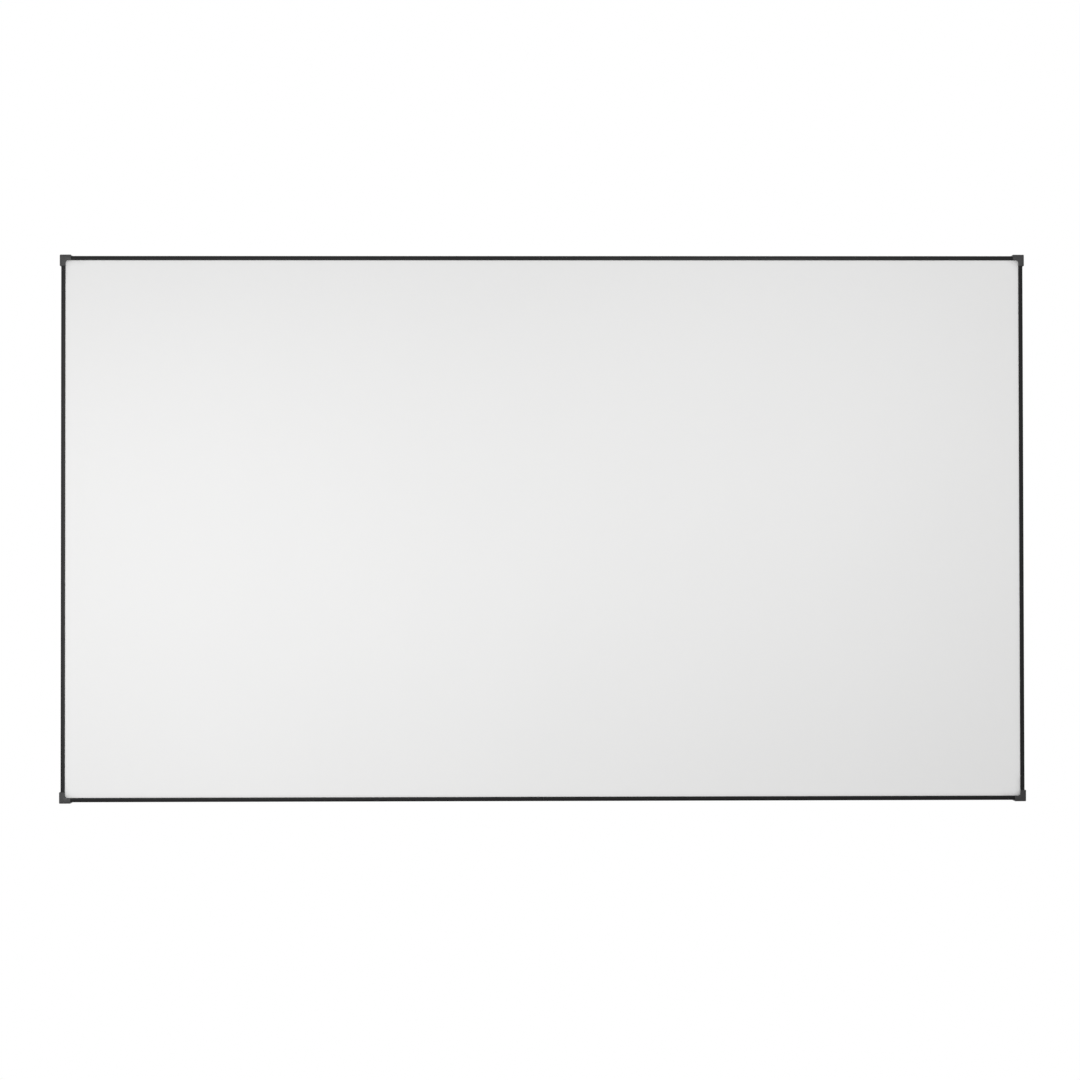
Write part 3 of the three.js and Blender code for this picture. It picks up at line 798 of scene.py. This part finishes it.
def thicken(made, thickness, backing=0, rim=0):
    """Thickness behind a surface. backing and rim are added to a face's place among the materials."""
    solid = made.modifiers.new("thickness", "SOLIDIFY")
    solid.thickness = thickness
    solid.offset = -1
    solid.use_even_offset = True
    solid.use_quality_normals = True
    solid.material_offset = backing
    solid.material_offset_rim = rim


def add_sheet():
    """The projection sheet: white film in front, grey backing behind and the ribbed backing on the welded
    strips, with its points joined and thickness behind it."""
    body, welds = projection_sheet()
    made = piece("projection_sheet", body, [WHITE_FILM, BACKING, WELD], ["screen_sheet"])
    made.data.polygons.foreach_set("material_index", welds.astype(np.int32))
    merge_points(made)
    thicken(made, SHEET_THICK, backing=1, rim=-1)
    path, first_cut, last_cut, _ = flap_path()


add_sheet()


# Rods and springs


def rods():
    """A straight round rod in each hem, with chamfered ends."""
    section = circle(ROD_INSET, ROD_BACK, ROD_RADIUS, 20)
    for side, name in enumerate(SIDES):
        reach = half_length(side) - FLAP_INSET - ROD_SHORT
        body = slab(section, [], eased(reach, ROD_CHAMFER), section_place(side))
        piece(f"hem_rod_{name}", body, [SPRING_ZINC], [f"tension_rod_{name}"])


def smooth(share):
    """Rises from 0 to 1 as the share does, level at both ends: 3 share^2 - 2 share^3."""
    return share * share * (3 - 2 * share)


def spring_path():
    """The wire's centre line (s, u, v) and its outward direction, which is away from a hook's middle or the
    spring's axis: an open hook round the rod, a lead, the coil, a lead, and a hook over the ridge. From lead
    to lead it runs at radius r and angle a about the axis. Its share of turning, g, rises smoothly from 0 in
    a lead to 1 in the coil. a grows by g, and u by 3 (1 - g) + 0.35 g, both scaled to their ends. r goes from
    the rod's hook to the coil's radius, and at the other end smoothly to the axis."""
    wire_radius = SPRING_WIRE / 2
    hook = ROD_RADIUS + wire_radius
    ridge_u = RAIL_IN + SLIP + wire_radius - RIDGE_BEND
    start_u, end_u = ROD_INSET + SPRING_START, ridge_u - SPRING_END
    turns = round((end_u - start_u - SPRING_LEADS) / COIL_PITCH)
    t = np.linspace(0, 1, 12 * turns + 40)
    ramp = 16 / len(t)
    g = smooth(np.clip(np.minimum(t, 1 - t) / ramp - 0.25, 0, 1))
    a = np.cumsum(g) * TURN * turns / g.sum()
    u = np.cumsum(3 * (1 - g) + 0.35 * g)
    u = start_u + (end_u - start_u) * (u - u[0]) / (u[-1] - u[0])
    rise, fall = np.clip(t / ramp, 0, 1), np.clip((1 - t) / ramp, 0, 1)
    begin = ROD_BACK + hook - SPRING_AXIS
    r = (begin + (SPRING_RADIUS - wire_radius - begin) * rise) * smooth(fall)
    coil_out = np.stack((np.sin(a), 0 * a, np.cos(a)), axis=-1)
    coil = r[:, None] * coil_out + np.stack((0 * u, u, 0 * u + SPRING_AXIS), axis=-1)

    def arc(first, last, count):
        angle = np.radians(np.linspace(first, last, count))
        return np.stack((0 * angle, np.cos(angle), np.sin(angle)), axis=-1)

    rod_out, ridge_out = arc(225, 90, 14), arc(90, 0, 8)
    tail_out = ridge_out[-1:]
    places = (
        (0, ROD_INSET, ROD_BACK) + hook * rod_out,
        coil,
        (0, ridge_u, SPRING_AXIS - RIDGE_BEND) + RIDGE_BEND * ridge_out,
        (0, ridge_u, RAIL_BACK + RIDGE_TAIL) + RIDGE_BEND * tail_out,
    )
    return np.concatenate(places), np.concatenate((rod_out, coil_out, ridge_out, tail_out))


def wire_rings(path, out, radius, sides):
    """Rings of points round a path: cos(angle) n + sin(angle) b, where b is square to the path and the
    outward direction, and n to b and the path."""
    along = np.gradient(path, axis=0)
    along /= np.linalg.norm(along, axis=1)[:, None]
    b = np.cross(along, out)
    b /= np.linalg.norm(b, axis=1)[:, None]
    n = np.cross(b, along)
    angle = np.arange(sides)[:, None] * TURN / sides
    return path[:, None] + radius * (np.cos(angle) * n[:, None] + np.sin(angle) * b[:, None])


def springs():
    """The same spring at each of its places along a side."""
    rings = wire_rings(*spring_path(), SPRING_WIRE / 2, 6)
    s, u, v = np.moveaxis(rings, -1, 0)
    for side, name in enumerate(SIDES):
        body = joined([tube(side_point(side, s + middle, u, v)) for middle in spring_places(side)])
        piece(f"springs_{name}", body, [SPRING_ZINC], [f"tension_rod_{name}"], sharp=70)


rods()
springs()


# Steel plates and set screws


def set_screw(place, x, y):
    """Grub screw at x, y, from the cup in its tip to the floor of its hexagon socket. Tip, head and socket
    are rings, each a share of the screw's or the hexagon's radius and a depth. The thread's radius falls by
    the saw tooth |2 f - 1|, where f is the fraction of depth / pitch - angle / turn. A hexagon's radius is
    apothem / cos of the angle from the middle of its nearest flat."""
    radius = SCREW_DIAMETER / 2
    angle = np.arange(24) * TURN / 24
    hexagon = SOCKET_ACROSS / 2 / np.cos(np.mod(angle, TURN / 6) - TURN / 12)
    floor_depth = SCREW_LENGTH - SOCKET_DEPTH
    chamfer = SCREW_LENGTH - SCREW_CHAMFER
    tip = ((0.15, CUP_DEPTH), (0.5, 0), (0.62, 0), (0.85, 0.6 * MM))
    head = ((0.85, chamfer), (0.78, SCREW_LENGTH))
    socket = ((1.1, SCREW_LENGTH), (1, chamfer), (1, floor_depth), (0.5, floor_depth - 0.2 * MM))
    depths = np.linspace(THREAD_START, SCREW_LENGTH - THREAD_END, 18)
    saw = np.abs(2 * np.mod(depths[:, None] / THREAD_PITCH - angle / TURN, 1) - 1)
    rings = [(share * radius, depth) for share, depth in tip]
    rings += zip(radius - THREAD_DEPTH * saw, depths)
    rings += [(share * radius, depth) for share, depth in head]
    rings += [(share * hexagon, depth) for share, depth in socket]
    start = SLOT_FLOOR + SLIP
    points = [place(x + r * np.cos(angle), y + r * np.sin(angle), start + depth) for r, depth in rings]
    return tube(np.array(points))


def clamped_plate(kind, node, name, outline, spots, place):
    """A steel plate with softened edges and a plain hole at each spot, and the set screws in its holes."""
    soft = 0.3 * PLATE_EDGE
    edge = ((0, PLATE_EDGE), (soft, soft), (PLATE_EDGE, 0))
    levels = [(PLATE_FRONT + depth, inset) for depth, inset in edge]
    levels += [(PLATE_BACK - depth, inset) for depth, inset in edge[::-1]]
    holes = [circle(x, y, SCREW_DIAMETER / 2 + SCREW_PLAY, 28) for x, y in spots]
    body = slab(outline, holes, levels, place)
    piece(f"steel_{kind}_{name}", body, [ZINC], [f"{node}_{name}"])
    for i, spot in enumerate(spots, 1):
        screw = set_screw(place, *spot)
        piece(f"grub_screw_{name}_{i}", screw, [OXIDE], [f"{kind}_screw_{name}_{i}"], sharp=50)


def corner_plates():
    """An L-shaped plate in the slots at each corner, clamped by two set screws in each arm."""
    near, far, end = PLATE_NEAR, PLATE_FAR, PLATE_NEAR + ARM_LENGTH
    corners = [(near, near), (end, near), (end, far), (far, far, PLATE_ROUND / 2), (far, end), (near, end)]
    outline = rounded(corners, 5, PLATE_ROUND)
    arm = (end - SCREW_END - SCREW_STEP, end - SCREW_END)
    spots = [spot for at in arm for spot in ((at, SLOT_MIDDLE), (SLOT_MIDDLE, at))]
    for corner, name in enumerate(CORNERS):
        clamped_plate("corner", "corner_bracket", name, outline, spots, partial(corner_point, corner))


def splice_plates():
    """A straight plate over the joint in the middle of the top and the bottom rail."""
    last = SPLICE_HALF - SCREW_END
    spots = [(s, SLOT_MIDDLE) for s in (-last, SCREW_STEP - last, last - SCREW_STEP, last)]
    outline = rectangle(-SPLICE_HALF, PLATE_NEAR, SPLICE_HALF, PLATE_FAR, PLATE_ROUND, 5)
    for side in (0, 2):
        clamped_plate("splice", "splice_plate", SIDES[side], outline, spots, partial(side_point, side))


corner_plates()
splice_plates()


# Corner caps


def corner_caps():
    """A channel section swept round an L: along one side, round the corner and along the next. At u the path
    turns on a circle of radius r(u), the cap's outer round outside and its fillet inside. Both ends are moved
    in a little, which softens their edges."""
    front, back = -SLIP - CAP_WALL, TRIM_BACK + SLIP + CAP_WALL
    section = rounded([
        (-CAP_PROUD, front, CAP_EDGE), (TRIM_FACE, front, CAP_EDGE), (TRIM_FACE, -SLIP), (-SLIP, -SLIP),
        (-SLIP, TRIM_BACK + SLIP), (TRIM_FACE, TRIM_BACK + SLIP), (TRIM_FACE, back, CAP_EDGE),
        (-CAP_PROUD, back, CAP_EDGE),
    ], 5, CAP_INNER_EDGE)
    u, v = section.T
    smaller = moved_in(section, CAP_END_EDGE)
    end = CAP_ARM - CAP_PROUD
    radius = np.interp(u, (-CAP_PROUD, -SLIP, TRIM_FACE), (CAP_ROUND, SLIP, CAP_FILLET))
    angle = -math.pi / 2 - np.linspace(0, math.pi / 2, 9)[:, None]
    turn = np.stack((u + radius + radius * np.cos(angle), u + radius + radius * np.sin(angle)), axis=-1)
    first = np.stack((np.full_like(u, end), smaller[:, 0]), axis=-1)
    second = np.stack((np.full_like(u, end - CAP_END_EDGE), u), axis=-1)
    path = np.stack((first, second, *turn, second[:, ::-1], first[:, ::-1]))
    depth = np.repeat(v[None], len(path), axis=0)
    depth[[0, -1]] = smaller[:, 1]
    caps = filled([smaller])
    ends = [caps[:, ::-1], caps + (len(path) - 1) * len(u)]
    end_uvs = [section[caps[:, ::-1]], section[caps]]
    for corner, name in enumerate(CORNERS):
        points = corner_point(corner, path[..., 0], path[..., 1], depth)
        vertices, faces, uvs = grid(points, wrap_columns=True)
        body = outward((vertices, faces + ends, uvs + end_uvs))
        piece(f"moulded_cap_{name}", body, [CAP_GREY], [f"corner_cap_{name}"])


corner_caps()


# Centre support


def support():
    """An upright tube behind the sheet, and at each end a clip with a plug in the tube, whose two legs
    straddle the rail's inner wall."""
    clip_start = RAIL_IN + SLIP
    shoulder = clip_start + CLIP_BODY
    leg_end = clip_start - CLIP_GRIP
    jaw = rounded([
        (leg_end, BAR_FRONT), (shoulder, BAR_FRONT), (shoulder, BAR_BACK), (leg_end, BAR_BACK),
        (leg_end, BAR_BACK - CLIP_LEG), (clip_start, BAR_BACK - CLIP_LEG),
        (clip_start, BAR_FRONT + CLIP_LEG), (leg_end, BAR_FRONT + CLIP_LEG),
    ], radius=CLIP_ROUND)
    half, inset = BAR_WIDTH / 2, BAR_WALL + SLIP
    plug = rectangle(inset - half, BAR_FRONT + inset, half - inset, BAR_BACK - inset, PLUG_ROUND)
    plug_end = shoulder + PLUG_LENGTH
    levels = [(shoulder - PLUG_ROOT, 0), (plug_end - CLIP_ROUND, 0), (plug_end, CLIP_ROUND)]
    for side, name in ((0, "top"), (2, "bottom")):
        grip = slab(jaw, [], eased(half, CLIP_EDGE), section_place(side))
        insert = slab(plug, [], levels, lambda s, v, u, side=side: side_point(side, s, u, v))
        clip = joined([grip, insert])
        piece(f"brace_clip_{name}", clip, [CLIP_BLACK], [f"support_clip_{name}"])
    outer = rectangle(-half, BAR_FRONT, half, BAR_BACK, BAR_ROUND, 6)
    front, back, bore = BAR_FRONT + BAR_WALL, BAR_BACK - BAR_WALL, half - BAR_WALL
    hole = rectangle(-bore, front, bore, back, BAR_INNER_ROUND)
    ends = eased(HALF_HEIGHT - shoulder - SLIP, BAR_CUT_EDGE)
    body = slab(outer, [hole], ends, lambda x, v, z: np.stack(np.broadcast_arrays(x, FRONT + v, z), axis=-1))
    piece("brace_bar", body, [MILL], ["support_bar"])


support()


# Wall hooks


def hook_path(side):
    """The path (u, v) of the face of a hook's strip that carries the rail: tip, shelf and plate with bends
    between them. The plate's face looks to the wall at the top, and away from it at the bottom."""
    tip_back = SLOT_LIP - SLIP
    if side == 0:
        tip, carry = SLOT_NEAR + 2 * SLIP, SLOT_MIDDLE - SLOT_MOUTH / 2 + SLIP
        plate, bend, end = WALL, HOOK_BEND + HOOK_THICK, carry + HOOK_PLATE
    else:
        tip, carry = SLOT_FAR - 2 * SLIP, SLOT_MIDDLE + SLOT_MOUTH / 2 - SLIP
        plate, bend, end = WALL - HOOK_THICK, HOOK_BEND, carry - HOOK_THICK + HOOK_PLATE
    corners = [(tip, tip_back), (carry, tip_back, HOOK_BEND), (carry, plate, bend), (end, plate)]
    return rounded(corners, 8, closed=False)


def stadium(angle):
    """Distance from a wall slot's middle to its rim in each direction: to the straight rim, width / 2 /
    |sin|, where that lies on the straight, and otherwise to the round end about (end, 0)."""
    round_end = WALL_SLOT_WIDTH / 2
    end = WALL_SLOT_LENGTH / 2 - round_end
    c, s = np.abs(np.cos(angle)), np.abs(np.sin(angle))
    straight = round_end / np.maximum(s, 1e-9)
    curved = end * c + np.sqrt(np.maximum(round_end**2 - (end * s) ** 2, 0))
    return np.where(straight * c <= end, straight, curved)


def slot_cell(x, low, high, middle):
    """A grid (x, d) of rings from a wall slot's rim to the rectangle round it, whose long edges are divided
    as x is. Each ring lies at its share of the way."""
    up = np.linspace(low, high, 9)
    bottom = np.stack((x, np.full_like(x, low)), axis=-1)
    right = np.stack((np.full_like(up, x[-1]), up), axis=-1)
    top = np.stack((x[::-1], np.full_like(x, high)), axis=-1)
    left = np.stack((np.full_like(up, x[0]), up[::-1]), axis=-1)
    outer = np.concatenate((bottom[:-1], right[:-1], top[:-1], left[:-1]))
    centre = np.array((0.0, middle))
    away = outer - centre
    angle = np.arctan2(away[:, 1], away[:, 0])
    inner = centre + stadium(angle)[:, None] * np.stack((np.cos(angle), np.sin(angle)), axis=-1)
    share = np.array((0.0, 0.15, 0.45, 1.0))[:, None, None]
    return inner + (outer - inner) * share


def soften_corners(flat, total):
    """Rounds the flat strip's two far corners: in a corner's square a point (x, d) from its inner corner is
    brought in by max(x, d) / hypot(x, d), which makes the outer edges a quarter circle."""
    over_x = np.maximum(np.abs(flat[..., 0]) - HOOK_WIDTH / 2 + HOOK_ROUND, 0)
    over_d = np.maximum(flat[..., 1] - total + HOOK_ROUND, 0)
    share = np.maximum(over_x, over_d) / np.maximum(np.hypot(over_x, over_d), 1e-12)
    x = np.sign(flat[..., 0]) * (np.abs(flat[..., 0]) - over_x * (1 - share))
    return np.stack((x, flat[..., 1] - over_d * (1 - share)), axis=-1)


def wall_hook(side, middle):
    """The hook's strip laid out flat as x across and d along, then bent: u and v are its path's at the
    distance d. Up to the plate's start it is one grid, and each slot sits in a cell of rings."""
    path = hook_path(side)
    reach = np.append(0.0, np.cumsum(np.linalg.norm(np.diff(path, axis=0), axis=1)))
    total = reach[-1]
    upper = total - HOOK_PLATE + WALL_SLOT_FIRST
    lower = upper + WALL_SLOT_STEP
    between = (upper + lower) / 2
    first = 2 * upper - between
    x = np.linspace(-HOOK_WIDTH / 2, HOOK_WIDTH / 2, 13)
    plain = np.append(reach[reach < first - 1e-6], first)
    strip = np.stack(np.meshgrid(plain, x, indexing="ij")[::-1], axis=-1)
    cells = (slot_cell(x, first, between, upper), slot_cell(x, between, total, lower))
    bodies = []
    for flat, wrap in ((strip, False), (cells[0], True), (cells[1], True)):
        flat = soften_corners(flat, total)
        u, v = (np.interp(flat[..., 1], reach, line) for line in path.T)
        bodies.append(grid(side_point(side, middle + flat[..., 0], u, v), wrap_columns=wrap))
    return joined(bodies)


def wall_hooks():
    for side, place, facing in ((0, HOOK_MIDDLE, 1), (2, -HOOK_MIDDLE, -1)):
        for hand, word in ((-1, "left"), (1, "right")):
            name = f"{SIDES[side]}_{word}"
            body = wall_hook(side, hand * place)
            made = piece(f"wall_hook_{name}", body, [POWDER], [f"wall_bracket_{name}"])
            merge_points(made, facing)
            thicken(made, HOOK_THICK)
            edges = made.modifiers.new("edges", "BEVEL")
            edges.width = HOOK_EDGE
            edges.segments = 2
            edges.limit_method = "ANGLE"
            edges.angle_limit = math.radians(60)


wall_hooks()


# Studio

WHITE = (1, 1, 1, 1)
AMBIENT = 0.5
FLOOR_COLOUR = (0.65, 0.65, 0.65, 1)
FLOOR_Z = -1.5
FLOOR_MIDDLE = (0.0, -1.3)
FLOOR_HALF = (3.4, 2.2)
FLOOR_GLOW = 0.6  # the share of plain white in the floor's middle
FLOOR_FADE = (0.25, 0.98)  # where that share starts to rise and where it reaches 1


def area_light(name, place, aim, size, power):
    light = bpy.data.lights.new(name, "AREA")
    light.shape = "RECTANGLE"
    light.size, light.size_y = size
    light.energy = power
    lamp = added(name, light)
    lamp.location = place
    lamp.rotation_euler = (Vector(aim) - Vector(place)).to_track_quat("-Z", "Y").to_euler()
    lamp.visible_camera = False


def background():
    """White to the camera and in reflections, and a soft even light on everything else."""
    world = bpy.data.worlds.new("studio")
    bpy.context.scene.world = world
    world.use_nodes = True
    tree = world.node_tree
    tree.nodes.clear()
    ray = add_node(tree, "LightPath")
    seen = maths(tree, "MAXIMUM", ray["Is Camera Ray"], ray["Is Glossy Ray"])
    seen = maths(tree, "MAXIMUM", seen, ray["Is Transmission Ray"])
    ambient = add_node(tree, "Background", {"Color": WHITE, "Strength": AMBIENT})["Background"]
    white = add_node(tree, "Background", {"Color": WHITE, "Strength": 1.0})["Background"]
    mix = add_node(tree, "MixShader", {"Fac": seen, 1: ambient, 2: white})["Shader"]
    add_node(tree, "OutputWorld", {"Surface": mix})


def floor():
    """Pale floor under the screen. To the camera it mixes its shaded face with plain white, whose share rises
    to 1 at the ellipse that touches its edges, so it keeps the shadow and ends nowhere."""
    x, y = (np.linspace(-1, 1, 9) * half + middle for half, middle in zip(FLOOR_HALF, FLOOR_MIDDLE))
    x, y = np.meshgrid(x, y, indexing="ij")
    vertices, (faces,), _ = grid(np.stack((x, y, np.full_like(x, FLOOR_Z)), axis=-1))
    mesh = bpy.data.meshes.new("studio_floor")
    mesh.from_pydata(vertices.tolist(), [], faces.tolist())
    material = bpy.data.materials.new("pale floor")
    material.use_nodes = True
    tree = material.node_tree
    shader = tree.nodes["Principled BSDF"]
    shader.inputs["Base Color"].default_value = FLOOR_COLOUR
    shader.inputs["Roughness"].default_value = 0.9
    place = add_node(tree, "TexCoord")["Object"]
    away = vector_maths(tree, "SUBTRACT", place, (*FLOOR_MIDDLE, FLOOR_Z))["Vector"]
    scaled = vector_maths(tree, "DIVIDE", away, (*FLOOR_HALF, 1))["Vector"]
    reach = vector_maths(tree, "LENGTH", scaled)["Value"]
    values = {"Value": reach, "From Min": FLOOR_FADE[0], "From Max": FLOOR_FADE[1], "To Min": FLOOR_GLOW}
    fade = add_node(tree, "MapRange", values, interpolation_type="SMOOTHSTEP")["Result"]
    share = maths(tree, "MULTIPLY", add_node(tree, "LightPath")["Is Camera Ray"], fade)
    glow = add_node(tree, "Emission", {"Strength": 1.0})["Emission"]
    mix = add_node(tree, "MixShader", {"Fac": share, 1: shader.outputs["BSDF"], 2: glow})["Shader"]
    tree.links.new(mix, tree.nodes["Material Output"].inputs["Surface"])
    mesh.materials.append(material)
    added("studio_floor", mesh)


# Almost square to the screen, a little below and to the left of its middle
CAMERA_LENS = 70.0
CAMERA_AZIMUTH = -0.619
CAMERA_ELEVATION = -0.686
CAMERA_ROLL = -0.078
CAMERA_DISTANCE = 4.874
AIM_RIGHT = -7.8 * MM
AIM_UP = -27.5 * MM


def camera():
    azimuth, elevation, roll = (math.radians(x) for x in (CAMERA_AZIMUTH, CAMERA_ELEVATION, CAMERA_ROLL))
    level = Vector((math.cos(azimuth), math.sin(azimuth), 0))
    flat = math.cos(elevation)
    back = Vector((math.sin(azimuth) * flat, -math.cos(azimuth) * flat, math.sin(elevation)))
    upright = back.cross(level)
    right = math.cos(roll) * level + math.sin(roll) * upright
    up = math.cos(roll) * upright - math.sin(roll) * level
    target = Vector((0, FRONT + SHEET_OUT, 0)) + AIM_RIGHT * right + AIM_UP * up
    data = bpy.data.cameras.new("camera")
    data.lens = CAMERA_LENS
    data.sensor_width = 36.0
    made = added("camera", data)
    turned = Matrix((right, up, back)).transposed().to_4x4()
    made.matrix_world = Matrix.Translation(target + back * CAMERA_DISTANCE) @ turned
    bpy.context.scene.camera = made


background()
floor()
area_light("key softbox", (-1.1, -1.76, 0.0), (-1.1, 0, -0.1), (1.5, 1.5), 18.8)
area_light("fill softbox", (0.65, -1.93, 0.4), (2.2, 0, -0.23), (1.0, 1.0), 14)
area_light("back softbox", (1.6, 3.4, 1.6), (0, 0, 0), (2.4, 2.0), 95)
camera()
bpy.context.scene.view_settings.view_transform = "Standard"
